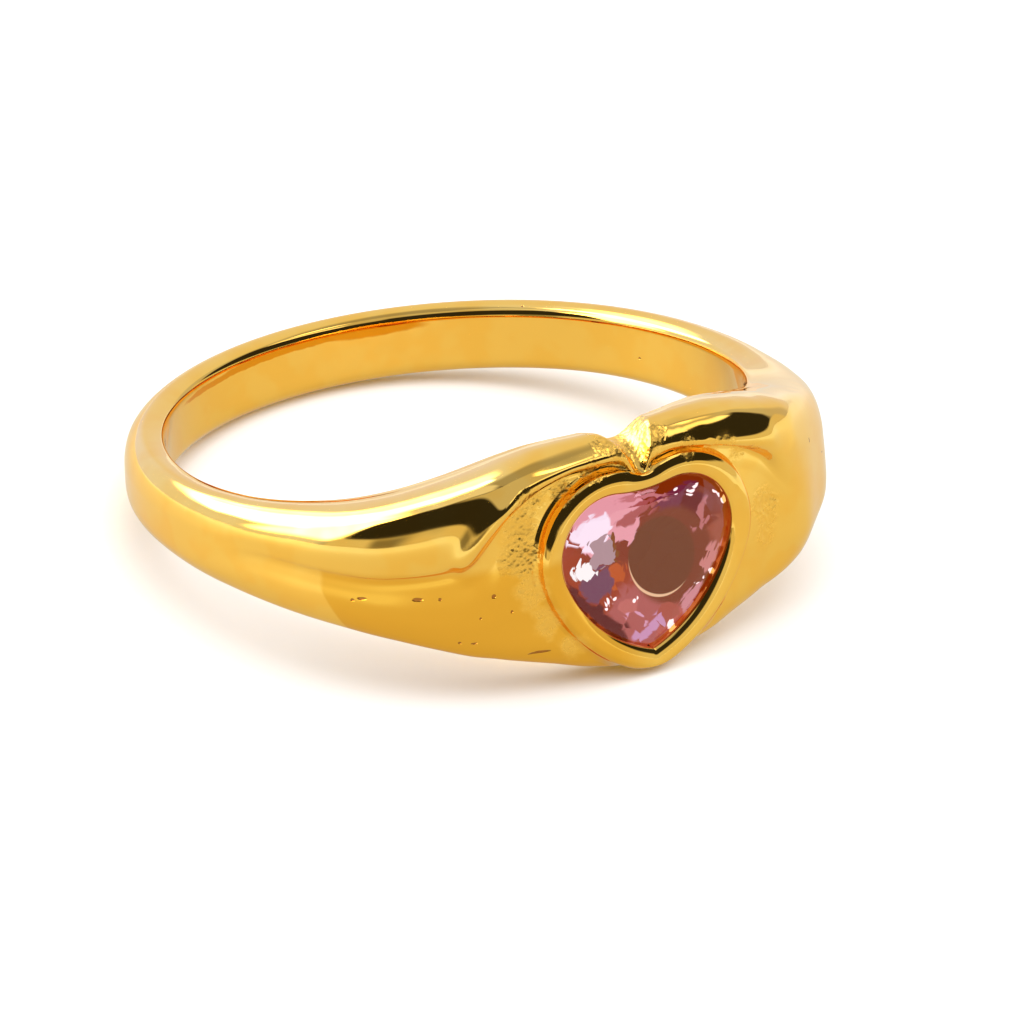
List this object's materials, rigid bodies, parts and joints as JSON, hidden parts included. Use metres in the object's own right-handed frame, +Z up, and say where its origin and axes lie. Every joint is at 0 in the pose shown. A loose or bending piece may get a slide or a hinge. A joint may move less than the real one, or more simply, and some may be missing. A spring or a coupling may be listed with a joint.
{
  "type": "heart ring",
  "caption": "Gold finger ring whose shoulders end in two rounded lobes above a raised heart-shaped bezel that holds a pink heart-cut stone.",
  "frame": {"origin": "centre of the ring's footprint, on the table that it lies on", "axes": "+Z up from the table, -Y towards the head and its stone, +X to the right when the stone is seen from the front; the finger bore leans 9.3 degrees from +Z towards +Y"},
  "size_m": [0.02, 0.0206, 0.0074],
  "materials": {
    "gold_plate": "polished",
    "pink_stone": "faceted"
  },
  "bodies": {
    "root": {"ring_band": "gold_plate", "heart_stone": "pink_stone"}
  },
  "joints": []
}
